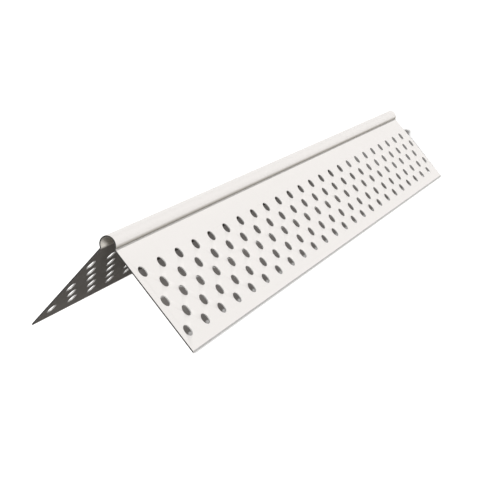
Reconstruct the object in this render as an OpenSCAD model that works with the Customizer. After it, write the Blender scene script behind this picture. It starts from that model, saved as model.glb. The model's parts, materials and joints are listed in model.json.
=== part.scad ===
// Drywall corner bead: one short length of roll-formed, perforated sheet, standing on its two free edges.
// X runs along the length, the round nose is on top, and the floor is at Z = 0.

/* [Piece] */
// Length of the cut piece
bead_len = 209; // [80:0.1:320]
// Width of each leg, from the outside of the nose to the free edge
leg_w = 31.75; // [26:0.05:42]
// Angle between the two legs
leg_angle = 85.5; // [78:0.5:100]
// Thickness of the sheet
sheet_t = 0.35; // [0.25:0.01:0.6]

/* [Nose] */
// Outside diameter of the rolled nose
nose_d = 4.3; // [3.2:0.05:6]
// Depth of the nose's centre below the outer face of either leg
nose_inset = 0.85; // [0.6:0.01:1.2]
// Outside radius of the reverse bend where the nose turns into a leg
crease_r = 0.3; // [0.15:0.05:0.8]

/* [Perforation] */
// Diameter of every hole
hole_d = 2.75; // [1.5:0.05:4]
// Distance between the holes of one row
hole_pitch = 8.59; // [6.5:0.01:14]
// Distance from the cut end to the middle of the first hole
end_margin = 3.4; // [2.5:0.05:12]
// Distance from the corner line to the first row
first_row = 9.95; // [6.5:0.05:12]
// Distance from the last row to the free edge
edge_margin = 4.35; // [2.5:0.05:7]
// Rows of holes on each leg that begin at the end margin
main_rows = 3; // [2:1:4]
// Shift of the rows in between, as a share of the pitch both ways
stagger = 0.52; // [0.4:0.01:0.6]

/* [Hidden] */
$fn = 96;

half_angle = leg_angle / 2;
down_leg = [sin(half_angle), -cos(half_angle)];
out_of_leg = [cos(half_angle), sin(half_angle)];

// Along a leg everything is measured from the corner line, where the outer faces of the two legs would meet.
// In the section the nose's centre is at [0, 0] and the corner line is straight above it.
nose_r = nose_d / 2;
nose_run = nose_inset / tan(half_angle);
corner_up = nose_inset / sin(half_angle);
leg_run = leg_w + nose_run - nose_r;

// The free edges are trimmed upright, and their inner corners stand on the floor.
half_span = leg_run * sin(half_angle);
corner_z = leg_run * cos(half_angle) + sheet_t / sin(half_angle);
nose_z = corner_z - corner_up;

// The reverse bend rolls off the nose's circle onto the leg, and bites into both a little so that they are one.
bite = sheet_t / 2000;
crease_arm = nose_r + crease_r - bite;
crease_turn = acos((nose_inset + crease_r - bite) / crease_arm);
crease_run = nose_run + crease_arm * sin(crease_turn);
crease_center = [0, corner_up] + crease_run * down_leg + (crease_r - bite) * out_of_leg;

row_pitch = (leg_run - first_row - edge_margin) / (main_rows - 1);
holes_a_row = floor((bead_len - 2 * end_margin) / hole_pitch - stagger) + 1;
first_hole_x = end_margin - bead_len / 2;

// Cutting shapes stand past the ends of the sheet by this much.
spare = nose_r;

// A shape drawn across the bead, with the nose's centre at [0, 0], runs along X for this length
module along(length) {
    translate([-length / 2, 0, nose_z])
        rotate([90, 0, 90])
            linear_extrude(height = length)
                children();
}

// All that lies deeper than depth below the outer face of the sheet
module beneath(depth, length) {
    corner = [0, corner_up - depth / sin(half_angle)];
    reach = 2 * leg_run;
    foot = crease_center - (crease_r + 2 * sheet_t) * out_of_leg;
    along(length)
        circle(r = nose_r - depth);
    along(length)
        polygon([corner, corner + reach * down_leg, corner + reach * [-down_leg.x, down_leg.y]]);
    for (side = [0, 1])
        mirror([0, side, 0])
            difference() {
                along(length)
                    polygon([[0, 0], crease_center, foot]);
                along(length + spare)
                    translate(crease_center)
                        circle(r = crease_r + depth);
            }
}

// The sheet, bent to its section and trimmed upright at both free edges
module bent_sheet() {
    difference() {
        intersection() {
            beneath(0, bead_len);
            translate([-bead_len / 2 - spare, -half_span, -spare])
                cube([bead_len + 2 * spare, 2 * half_span, nose_z + nose_r + 2 * spare]);
        }
        beneath(sheet_t, bead_len + spare);
    }
}

// Holes of one leg: the rows in between are shifted along the length
module leg_holes() {
    translate([0, 0, corner_z])
        rotate([half_angle - 90, 0, 0])
            for (row = [0 : main_rows - 1], between = [0 : 1], i = [0 : holes_a_row - 1])
                if (row + between < main_rows)
                    translate([
                        first_hole_x + (i + between * stagger) * hole_pitch,
                        first_row + (row + between * stagger) * row_pitch,
                        -1.5 * sheet_t,
                    ])
                        cylinder(d = hole_d, h = 2 * sheet_t);
}

module corner_bead() {
    color("whitesmoke")
        difference() {
            bent_sheet();
            for (side = [0, 1])
                mirror([0, side, 0])
                    leg_holes();
        }
}

corner_bead();
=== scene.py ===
"""Drywall corner bead: a short length of coated, perforated and roll-formed sheet in a plain white studio."""

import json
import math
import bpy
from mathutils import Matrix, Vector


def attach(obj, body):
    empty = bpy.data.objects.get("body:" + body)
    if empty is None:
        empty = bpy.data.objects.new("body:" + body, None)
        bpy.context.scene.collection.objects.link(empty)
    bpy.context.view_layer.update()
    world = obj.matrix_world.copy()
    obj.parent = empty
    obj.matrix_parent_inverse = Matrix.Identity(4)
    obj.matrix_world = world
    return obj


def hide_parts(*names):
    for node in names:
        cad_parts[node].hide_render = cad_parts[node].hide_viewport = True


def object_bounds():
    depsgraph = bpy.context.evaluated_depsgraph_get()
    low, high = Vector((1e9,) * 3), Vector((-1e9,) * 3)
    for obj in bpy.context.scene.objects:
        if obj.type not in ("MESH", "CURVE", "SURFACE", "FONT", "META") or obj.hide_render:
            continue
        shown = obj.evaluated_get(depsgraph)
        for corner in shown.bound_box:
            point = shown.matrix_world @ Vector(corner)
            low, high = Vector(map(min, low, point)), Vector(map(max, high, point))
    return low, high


bl_info = {
    "name": "Drywall Corner Bead",
    "version": (1, 0, 0),
    "blender": (4, 5, 0),
    "location": "View3D > Sidebar > Corner Bead",
    "description": "Eases and coats the sheet of a corner bead and sets up a studio around it",
    "category": "Object",
}

import bmesh
import bpy
from bpy.props import FloatProperty, FloatVectorProperty, PointerProperty
from mathutils import Quaternion, Vector

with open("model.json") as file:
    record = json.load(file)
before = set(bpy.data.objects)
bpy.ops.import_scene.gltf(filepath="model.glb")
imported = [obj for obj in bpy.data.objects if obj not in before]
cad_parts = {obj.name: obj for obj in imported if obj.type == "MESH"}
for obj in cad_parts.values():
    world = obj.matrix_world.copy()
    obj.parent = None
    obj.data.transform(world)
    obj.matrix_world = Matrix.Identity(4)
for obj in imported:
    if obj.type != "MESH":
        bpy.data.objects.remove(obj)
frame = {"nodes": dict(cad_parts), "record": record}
cad_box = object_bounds()

NODE = "corner_bead"
MILLIMETRE = 0.001
# Faces lie on a side of the part's box when they are this close to it.
NEAR = 0.01 * MILLIMETRE
# Corners of the solid's loose triangles are one point when they are this close to each other.
SAME_POINT = 0.0001 * MILLIMETRE
# Edges that turn by more than this are cut edges. The others belong to a bend or to the wall of a hole.
CUT_EDGE_TURN = math.radians(35)
# Faces whose normals have less than this share square to the leg are walls of holes.
WALL_SHARE = 0.3
# Pull of the large flat faces on the normals of the eased edges next to them
FLAT_FACE_WEIGHT = 100
# Rays that feel how far a place is closed in
FEELERS = 12
# Height of the bumps in the coat and in the painted shade of the inner faces
BUMP_HEIGHT = 0.02 * MILLIMETRE


def mount_axis(name):
    """The axis of one of the part's mounts, as a vector."""
    found = [mount for mount in frame["record"]["mounts"] if mount["name"] == name]
    return Vector(found[0]["axis"])


# The outer face of either leg looks away from the board that its inner face lies on.
LEG_OUTWARD = {
    -1: -mount_axis("board_face_right"),
    1: -mount_axis("board_face_left"),
}


class CornerBeadSheet(bpy.types.PropertyGroup):
    """Edges and finishes of the sheet"""

    edge_ease: FloatProperty(
        name="Edge ease",
        description="Width of the worn corner along every punched, slit or sawn edge",
        default=0.04 * MILLIMETRE,
        min=0.0,
        precision=5,
        unit="LENGTH",
    )
    coat_colour: FloatVectorProperty(
        name="Coat",
        description="White coat on the outer faces",
        default=(0.87, 0.84, 0.815),
        min=0.0,
        max=1.0,
        subtype="COLOR",
    )
    # Painted shade: the grey that the coat turns on faces that look sideways or down.
    underside_shade_colour: FloatVectorProperty(
        name="Undercoat",
        description="Grey undercoat that shows through where the coat is thin",
        default=(0.34, 0.315, 0.27),
        min=0.0,
        max=1.0,
        subtype="COLOR",
    )
    # Painted shade: the dark grey of the inner faces, which lie in the bead's shade.
    inner_shade_colour: FloatVectorProperty(
        name="Primer",
        description="Grey primer on the inner faces, which the coat doesn't reach",
        default=(0.226, 0.211, 0.194),
        min=0.0,
        max=1.0,
        subtype="COLOR",
    )
    # Painted shade: the paler grey of the inner faces inside the hollow nose.
    nose_shade_colour: FloatVectorProperty(
        name="Nose primer",
        description="Unworn primer inside the hollow nose",
        default=(0.66, 0.635, 0.585),
        min=0.0,
        max=1.0,
        subtype="COLOR",
    )
    nose_depth: FloatProperty(
        name="Nose depth",
        description="Height of the hollow nose, from its top down to where the legs begin",
        default=3.6 * MILLIMETRE,
        min=0.0,
        precision=5,
        unit="LENGTH",
    )
    sheared_colour: FloatVectorProperty(
        name="Sheared edges",
        description="Bare zinc on the walls of the punched holes and on the slit free edges",
        default=(0.64, 0.63, 0.615),
        min=0.0,
        max=1.0,
        subtype="COLOR",
    )
    # The two sawn ends are near black.
    sawn_end_colour: FloatVectorProperty(
        name="Cut steel",
        description="Bare steel of the two sawn ends",
        default=(0.028, 0.027, 0.025),
        min=0.0,
        max=1.0,
        subtype="COLOR",
    )


class CornerBeadStudio(bpy.types.PropertyGroup):
    """Floor, light and camera"""

    floor_span: FloatProperty(
        name="Floor span",
        description="Width of the square floor",
        default=12.0,
        min=1.0,
        unit="LENGTH",
    )
    floor_bounce: FloatProperty(
        name="Floor bounce",
        description="Share of the light that the floor sends back to the bead",
        default=0.15,
        min=0.0,
        max=1.0,
        subtype="FACTOR",
    )
    floor_glow: FloatProperty(
        name="Floor glow",
        description="Brightness of the floor in the depth of the bead's shadow",
        default=0.11,
        min=0.0,
        max=1.0,
        subtype="FACTOR",
    )
    fill_strength: FloatProperty(
        name="Fill",
        description="Brightness of the even light from all round",
        default=0.12,
        min=0.0,
    )
    key_strength: FloatProperty(
        name="Key",
        description="Strength of the main light",
        default=3.46,
        min=0.0,
    )
    key_spread: FloatProperty(
        name="Key spread",
        description="Angle that each light of the bead fills, which softens its shadows",
        default=math.radians(25),
        subtype="ANGLE",
    )
    key_from: FloatVectorProperty(
        name="Key from",
        description="Direction from the bead to the main light",
        default=(-0.6, -0.545, 0.585),
        subtype="DIRECTION",
    )
    back_strength: FloatProperty(
        name="Back light",
        description="Strength of the weak light on the far leg",
        default=1.75,
        min=0.0,
    )
    back_from: FloatVectorProperty(
        name="Back light from",
        description="Direction from the bead to the weak light on the far leg",
        default=(0.3, 0.85, 0.43),
        subtype="DIRECTION",
    )
    floor_light: FloatProperty(
        name="Floor light",
        description="Brightness of the floor under its own lamp",
        default=1.15,
        min=0.0,
    )
    floor_lamp_size: FloatProperty(
        name="Floor lamp size",
        description="Radius of the floor's lamp, which softens the bead's shadow",
        default=0.005,
        min=0.0,
        unit="LENGTH",
    )
    floor_lamp_place: FloatVectorProperty(
        name="Floor lamp",
        description="Place of the floor's lamp",
        default=(-0.3068, -0.09, 0.1183),
        subtype="TRANSLATION",
        unit="LENGTH",
    )
    camera_place: FloatVectorProperty(
        name="Camera",
        description="Place of the camera",
        default=(-0.30248, -0.1213, 0.084745),
        subtype="TRANSLATION",
        unit="LENGTH",
    )
    camera_target: FloatVectorProperty(
        name="Target",
        description="Point in the middle of the picture",
        default=(-0.03855, -0.00168, 0.007085),
        subtype="TRANSLATION",
        unit="LENGTH",
    )
    camera_roll: FloatProperty(
        name="Roll",
        description="Turn of the camera about its own line of sight",
        default=math.radians(0.435),
        subtype="ANGLE",
    )
    camera_lens: FloatProperty(
        name="Lens",
        description="Focal length on a 36 mm sensor",
        default=82.5,
        min=10.0,
        subtype="DISTANCE_CAMERA",
    )


class Wire:
    """One output of a shader node, which can be used in sums."""

    def __init__(self, shader, socket):
        self.shader = shader
        self.socket = socket

    def _math(self, operation, first, second):
        return self.shader.node("ShaderNodeMath", {"operation": operation}, {0: first, 1: second})

    def __add__(self, other):
        return self._math("ADD", self, other)

    def __radd__(self, other):
        return self._math("ADD", other, self)

    def __sub__(self, other):
        return self._math("SUBTRACT", self, other)

    def __rsub__(self, other):
        return self._math("SUBTRACT", other, self)

    def __mul__(self, other):
        return self._math("MULTIPLY", self, other)

    def __rmul__(self, other):
        return self._math("MULTIPLY", other, self)


class Shader:
    """A node tree that is written one node at a time."""

    def __init__(self, tree):
        self.tree = tree
        self.tree.nodes.clear()

    def node(self, kind, settings=None, sockets=None, output=0):
        """Add a node with its settings and the values or wires of its sockets, and take one output."""
        made = self.tree.nodes.new(kind)
        for name, value in (settings or {}).items():
            setattr(made, name, value)
        for name, value in (sockets or {}).items():
            if isinstance(value, Wire):
                self.tree.links.new(value.socket, made.inputs[name])
            else:
                made.inputs[name].default_value = value
        return Wire(self, made.outputs[output]) if made.outputs else None

    def noise(self, grain, detail=2.0):
        """Noise on the object's own coordinates, whose grains have this size in metres along X, Y and Z."""
        place = self.node("ShaderNodeTexCoord", output="Object")
        scaled = self.node(
            "ShaderNodeMapping",
            sockets={"Vector": place, "Scale": tuple(1 / size for size in grain)},
        )
        return self.node("ShaderNodeTexNoise", sockets={"Vector": scaled, "Scale": 1.0, "Detail": detail})

    def mix(self, share, first, second):
        """A colour between two others."""
        return self.node("ShaderNodeMix", {"data_type": "RGBA"}, {0: share, 6: first, 7: second}, output=2)

    def part_of(self, kind, axis):
        """The X, Y or Z of the object's own coordinates, which are an Object place or a Normal."""
        whole = self.node("ShaderNodeTexCoord", output=kind)
        return self.node("ShaderNodeSeparateXYZ", sockets={"Vector": whole}, output=axis)

    def closed_share(self, reach, only_local):
        """How much of the view from a place is closed in by what lies within a reach of it."""
        open_share = self.node(
            "ShaderNodeAmbientOcclusion",
            {"samples": FEELERS, "only_local": only_local},
            {"Distance": reach},
            output="AO",
        )
        return 1 - open_share

    def bump(self, strength, height):
        """Normals of a surface with low bumps."""
        return self.node(
            "ShaderNodeBump",
            sockets={"Strength": strength, "Distance": BUMP_HEIGHT, "Height": height},
        )

    def surface(self, sockets):
        """Close the tree of a material with its surface."""
        made = self.node("ShaderNodeBsdfPrincipled", sockets=sockets)
        self.node("ShaderNodeOutputMaterial", sockets={"Surface": made})


def new_material(name):
    """An empty material and the shader that writes it."""
    material = bpy.data.materials.new(name)
    material.use_nodes = True
    return material, Shader(material.node_tree)


def shaded(colour, share=0.0):
    """A colour made darker by a share, as a shader takes it."""
    return (*(channel * (1 - share) for channel in colour), 1.0)


def grey(tone):
    """A grey as a shader takes it."""
    return shaded((tone, tone, tone))


# Size of the grains in the finishes, in metres along X, Y and Z
COAT_PATCHES = (0.02, 0.012, 0.012)
COAT_PEEL = (0.0006, 0.0006, 0.0006)
ROLL_MARKS = (0.08, 0.0004, 0.0004)
INNER_SHADE_CLOUDS = (0.015, 0.006, 0.006)
INNER_SHADE_GRIT = (0.0003, 0.0003, 0.0003)
TOOL_SCORES = (0.001, 0.0001, 0.0006)

# Painted shade: a dark grey where the sheet closes in on itself within this reach, as in the creases, which
# soon covers the coat.
CREASE_SHADE_REACH = 0.5 * MILLIMETRE
CREASE_SHADE_GAIN = 8.0
CREASE_SHADE_COLOUR = (0.12, 0.113, 0.105, 1.0)
# Painted shade: the coat turns grey by this share on an upright face, and by more the further a face looks
# down.
UNDERSIDE_SHADE_UPRIGHT = 0.36
UNDERSIDE_SHADE_DOWNWARD = 2.8
# The painted shade of the inner faces turns paler over this height at the foot of the nose.
NOSE_BLEND = 0.4 * MILLIMETRE


def outer_coat(colour, underside_shade):
    """Satin white coat with marks of the forming rolls, with painted shade on faces that look sideways or
    down, as under the nose, and painted shade in the creases.
    """
    material, shader = new_material("outer_coat")
    patches = shader.noise(COAT_PATCHES)
    peel = shader.noise(COAT_PEEL)
    roll_marks = shader.noise(ROLL_MARKS, detail=3.0)
    # Painted shade in the creases, where the sheet closes in on itself.
    crease_shade = CREASE_SHADE_GAIN * shader.closed_share(CREASE_SHADE_REACH, only_local=True)
    upward = shader.part_of("Normal", "Z")
    full = shader.mix(patches, shaded(colour), shaded(colour, 0.03))
    # Painted shade on faces that look sideways or down, such as under the nose.
    underside_shaded = shader.mix(UNDERSIDE_SHADE_UPRIGHT - UNDERSIDE_SHADE_DOWNWARD * upward, full, shaded(underside_shade))
    shader.surface(
        {
            "Base Color": shader.mix(crease_shade, underside_shaded, CREASE_SHADE_COLOUR),
            "Roughness": 0.52 + 0.12 * roll_marks,
            "Specular IOR Level": 0.25,
            "Normal": shader.bump(0.35, 0.6 * peel + 0.4 * roll_marks),
        }
    )
    return material


def inner_painted_shade(colour, nose_shade_colour, nose_depth):
    """Dark grey painted shade on the inner faces, matt, with a cloudy tone and fine grit, and paler inside
    the nose.
    """
    material, shader = new_material("inner_painted_shade")
    clouds = shader.noise(INNER_SHADE_CLOUDS, detail=4.0)
    grit = shader.noise(INNER_SHADE_GRIT)
    nose_foot = cad_box[1].z - nose_depth
    in_nose = (shader.part_of("Object", "Z") - nose_foot) * (1 / NOSE_BLEND)
    # The dark grey of the inner faces is painted shade, and it is paler inside the nose.
    cloudy = shader.mix(clouds, shaded(colour), shaded(colour, 0.12))
    shader.surface(
        {
            "Base Color": shader.mix(in_nose, cloudy, shaded(nose_shade_colour)),
            "Roughness": 0.7 + 0.2 * clouds,
            "Specular IOR Level": 0.05,
            "Normal": shader.bump(0.4, grit),
        }
    )
    return material


def cut_steel(name, colour):
    """Dull bare metal with the fine scores of the tool that cut it."""
    material, shader = new_material(name)
    scores = shader.noise(TOOL_SCORES, detail=3.0)
    shader.surface(
        {
            "Base Color": shader.mix(scores, shaded(colour), shaded(colour, 0.4)),
            "Roughness": 0.4 + 0.2 * scores,
            "Metallic": 0.3,
        }
    )
    return material


# Places of the finishes in the sheet's material slots
OUTER, INNER, SHEARED, SAWN = range(4)


def finish_of(face):
    """The finish that a face of the sheet has, by its place and the way it faces."""
    middle = face.calc_center_median()
    across = face.normal.dot(LEG_OUTWARD[1 if middle.y > 0 else -1])
    if abs(middle.x) > cad_box[1].x - NEAR:
        return SAWN
    if abs(middle.y) > cad_box[1].y - NEAR or abs(across) < WALL_SHARE:
        return SHEARED
    return OUTER if across > 0 else INNER


class CORNERBEAD_OT_sheet(bpy.types.Operator):
    """Make the sheet from its solid, with eased edges and its four finishes"""

    bl_idname = "corner_bead.sheet"
    bl_label = "Make Sheet"

    def execute(self, context):
        sheet = context.scene.corner_bead_sheet
        mesh = bpy.data.meshes.new("bent_sheet")
        work = bmesh.new()
        work.from_mesh(frame["nodes"][NODE].data)
        bmesh.ops.remove_doubles(work, verts=work.verts, dist=SAME_POINT)
        for face in work.faces:
            face.material_index = finish_of(face)
        corners = [edge for edge in work.edges if edge.calc_face_angle() > CUT_EDGE_TURN]
        bmesh.ops.bevel(
            work,
            geom=corners,
            offset=sheet.edge_ease,
            offset_type="OFFSET",
            affect="EDGES",
            segments=2,
            profile=0.5,
            material=-1,
            clamp_overlap=True,
        )
        for face in work.faces:
            face.smooth = True
        work.to_mesh(mesh)
        work.free()
        piece = bpy.data.objects.new("bent_sheet", mesh)
        context.scene.collection.objects.link(piece)
        for material in (
            outer_coat(sheet.coat_colour, sheet.underside_shade_colour),
            inner_painted_shade(sheet.inner_shade_colour, sheet.nose_shade_colour, sheet.nose_depth),
            cut_steel("sheared_edge", sheet.sheared_colour),
            cut_steel("sawn_end", sheet.sawn_end_colour),
        ):
            mesh.materials.append(material)
        normals = piece.modifiers.new("flat legs and even bends", "WEIGHTED_NORMAL")
        normals.weight = FLAT_FACE_WEIGHT
        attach(piece, "root")
        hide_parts(NODE)
        return {"FINISHED"}


def seen_directly(shader):
    """One where a ray comes from the camera, a reflection or a see-through surface, or else nought."""
    rays = ("Is Camera Ray", "Is Glossy Ray", "Is Transmission Ray")
    camera, glossy, through = (shader.node("ShaderNodeLightPath", output=ray) for ray in rays)
    return camera + glossy + through


# Outside the free edges the floor is shaded within a short reach, quickly, and down to a middle tone.
EDGE_REACH = 0.8 * MILLIMETRE
EDGE_SHADE = 5.0
EDGE_TONE = 0.45
# Under the legs it is shaded within a longer reach, down to a dark tone, once the shadow has begun.
UNDER_REACH = 12 * MILLIMETRE
UNDER_SHADE = 1.6
UNDER_TONE = 0.07
SHADOW_START = 1 * MILLIMETRE
# Tint of the floor's own faint light
GLOW_COLOUR = (1.0, 0.93, 0.88, 1.0)


def shadow_slant(lamp):
    """How far along the floor the shadow of the near end runs, for each metre that it runs across."""
    outward = LEG_OUTWARD[-1]
    lean = outward.z / abs(outward.y)
    along = (cad_box[0].x - lamp.x) / lamp.z
    across = (cad_box[0].y - lamp.y) / lamp.z + lean
    return along / across


def floor_material(bounce, glow, lamp):
    """White to look at, greyer in the light that it sends back, shaded along the feet, never black."""
    material, shader = new_material("studio_floor")
    along = shader.part_of("Object", "X")
    across = shader.part_of("Object", "Y")
    span = shader.node("ShaderNodeMath", {"operation": "ABSOLUTE"}, {0: across})
    outside = shader.node("ShaderNodeMath", {"operation": "GREATER_THAN"}, {0: span, 1: cad_box[1].y})
    past_end = along - cad_box[0].x - shadow_slant(lamp) * (across - cad_box[0].y)
    in_shadow = shader.node(
        "ShaderNodeMath",
        {"operation": "MULTIPLY", "use_clamp": True},
        {0: past_end, 1: 1 / SHADOW_START},
    )
    beside = EDGE_SHADE * outside * shader.closed_share(EDGE_REACH, only_local=False)
    under = UNDER_SHADE * in_shadow * (1 - outside) * shader.closed_share(UNDER_REACH, only_local=False)
    edged = shader.mix(beside, grey(1.0), grey(EDGE_TONE))
    seen = shader.mix(under, edged, grey(UNDER_TONE))
    shader.surface(
        {
            "Base Color": shader.mix(seen_directly(shader), grey(bounce), seen),
            "Roughness": 1.0,
            "Specular IOR Level": 0.0,
            "Emission Color": GLOW_COLOUR,
            "Emission Strength": glow,
        }
    )
    return material


def make_floor(scene, studio):
    """A wide flat floor under the bead."""
    mesh = bpy.data.meshes.new("studio_floor")
    work = bmesh.new()
    bmesh.ops.create_grid(work, x_segments=1, y_segments=1, size=studio.floor_span / 2)
    work.to_mesh(mesh)
    work.free()
    lamp = Vector(studio.floor_lamp_place)
    mesh.materials.append(floor_material(studio.floor_bounce, studio.floor_glow, lamp))
    floor = bpy.data.objects.new("studio_floor", mesh)
    scene.collection.objects.link(floor)
    return floor


def make_surround(scene, studio):
    """An even dim light from all round, which is white to look at."""
    world = bpy.data.worlds.new("studio_surround")
    world.use_nodes = True
    shader = Shader(world.node_tree)
    seen = seen_directly(shader)
    surround = shader.node(
        "ShaderNodeBackground",
        sockets={
            "Color": grey(1.0),
            "Strength": studio.fill_strength + seen * (1.0 - studio.fill_strength),
        },
    )
    shader.node("ShaderNodeOutputWorld", sockets={"Surface": surround})
    scene.world = world


def link_light(lamp, thing, state):
    """Let a lamp light only one thing, or everything but that thing."""
    receivers = bpy.data.collections.new(lamp.name + "_receivers")
    receivers.objects.link(thing)
    receivers.collection_objects[0].light_linking.link_state = state
    lamp.light_linking.receiver_collection = receivers


def make_bead_lamp(scene, name, strength, spread, direction, floor):
    """A soft lamp that lights the bead alone."""
    data = bpy.data.lights.new(name, "SUN")
    data.energy = strength
    data.angle = spread
    lamp = bpy.data.objects.new(name, data)
    lamp.rotation_euler = Vector(direction).to_track_quat("Z", "Y").to_euler()
    scene.collection.objects.link(lamp)
    link_light(lamp, floor, "EXCLUDE")


def make_floor_lamp(scene, studio, floor):
    """A small lamp near the camera that lights the floor alone and lays the bead's shadow behind the bead.

    The steady falloff and the ray's length make up for the spread and the slant of the light, so that the
    floor is equally bright near and far. The strength allows for light that leaves the lamp to all sides, and
    for a matt floor that sends it on to all sides.
    """
    data = bpy.data.lights.new("floor_lamp", "POINT")
    data.shadow_soft_size = studio.floor_lamp_size
    data.energy = 1.0
    data.use_nodes = True
    shader = Shader(data.node_tree)
    distance = shader.node("ShaderNodeLightPath", output="Ray Length")
    height = studio.floor_lamp_place[2]
    strength = studio.floor_light * 4 * math.pi * math.pi / height
    steady = shader.node("ShaderNodeLightFalloff", sockets={"Strength": strength}, output="Constant")
    glow = shader.node("ShaderNodeEmission", sockets={"Strength": steady * distance})
    shader.node("ShaderNodeOutputLight", sockets={"Surface": glow})
    lamp = bpy.data.objects.new("floor_lamp", data)
    lamp.location = studio.floor_lamp_place
    lamp.visible_camera = False
    scene.collection.objects.link(lamp)
    link_light(lamp, floor, "INCLUDE")


# Things nearer to the camera than this are not seen.
CAMERA_CLIP = 0.01


def make_camera(scene, studio):
    """A camera at the photograph's viewing angle."""
    data = bpy.data.cameras.new("camera")
    data.lens = studio.camera_lens
    data.clip_start = CAMERA_CLIP
    camera = bpy.data.objects.new("camera", data)
    sight = Vector(studio.camera_target) - Vector(studio.camera_place)
    turn = sight.to_track_quat("-Z", "Y") @ Quaternion((0.0, 0.0, 1.0), studio.camera_roll)
    camera.location = studio.camera_place
    camera.rotation_euler = turn.to_euler()
    scene.collection.objects.link(camera)
    scene.camera = camera


class CORNERBEAD_OT_studio(bpy.types.Operator):
    """Set up the white floor, the light and the camera"""

    bl_idname = "corner_bead.studio"
    bl_label = "Set Up Studio"

    def execute(self, context):
        scene = context.scene
        studio = scene.corner_bead_studio
        scene.view_settings.view_transform = "Standard"
        floor = make_floor(scene, studio)
        make_surround(scene, studio)
        make_bead_lamp(scene, "key", studio.key_strength, studio.key_spread, studio.key_from, floor)
        make_bead_lamp(scene, "back", studio.back_strength, studio.key_spread, studio.back_from, floor)
        make_floor_lamp(scene, studio, floor)
        make_camera(scene, studio)
        return {"FINISHED"}


class CORNERBEAD_PT_sidebar(bpy.types.Panel):
    """Sizes, colours and steps of the corner bead"""

    bl_label = "Corner Bead"
    bl_space_type = "VIEW_3D"
    bl_region_type = "UI"
    bl_category = "Corner Bead"

    def draw(self, context):
        for group, operator in (
            (context.scene.corner_bead_sheet, CORNERBEAD_OT_sheet),
            (context.scene.corner_bead_studio, CORNERBEAD_OT_studio),
        ):
            for name in group.__annotations__:
                self.layout.prop(group, name)
            self.layout.operator(operator.bl_idname)


CLASSES = (
    CornerBeadSheet,
    CornerBeadStudio,
    CORNERBEAD_OT_sheet,
    CORNERBEAD_OT_studio,
    CORNERBEAD_PT_sidebar,
)


def register():
    for each in CLASSES:
        bpy.utils.register_class(each)
    bpy.types.Scene.corner_bead_sheet = PointerProperty(type=CornerBeadSheet)
    bpy.types.Scene.corner_bead_studio = PointerProperty(type=CornerBeadStudio)


def unregister():
    del bpy.types.Scene.corner_bead_studio
    del bpy.types.Scene.corner_bead_sheet
    for each in reversed(CLASSES):
        bpy.utils.unregister_class(each)


def main():
    register()
    bpy.ops.corner_bead.sheet()
    bpy.ops.corner_bead.studio()


if __name__ == "__main__":
    main()
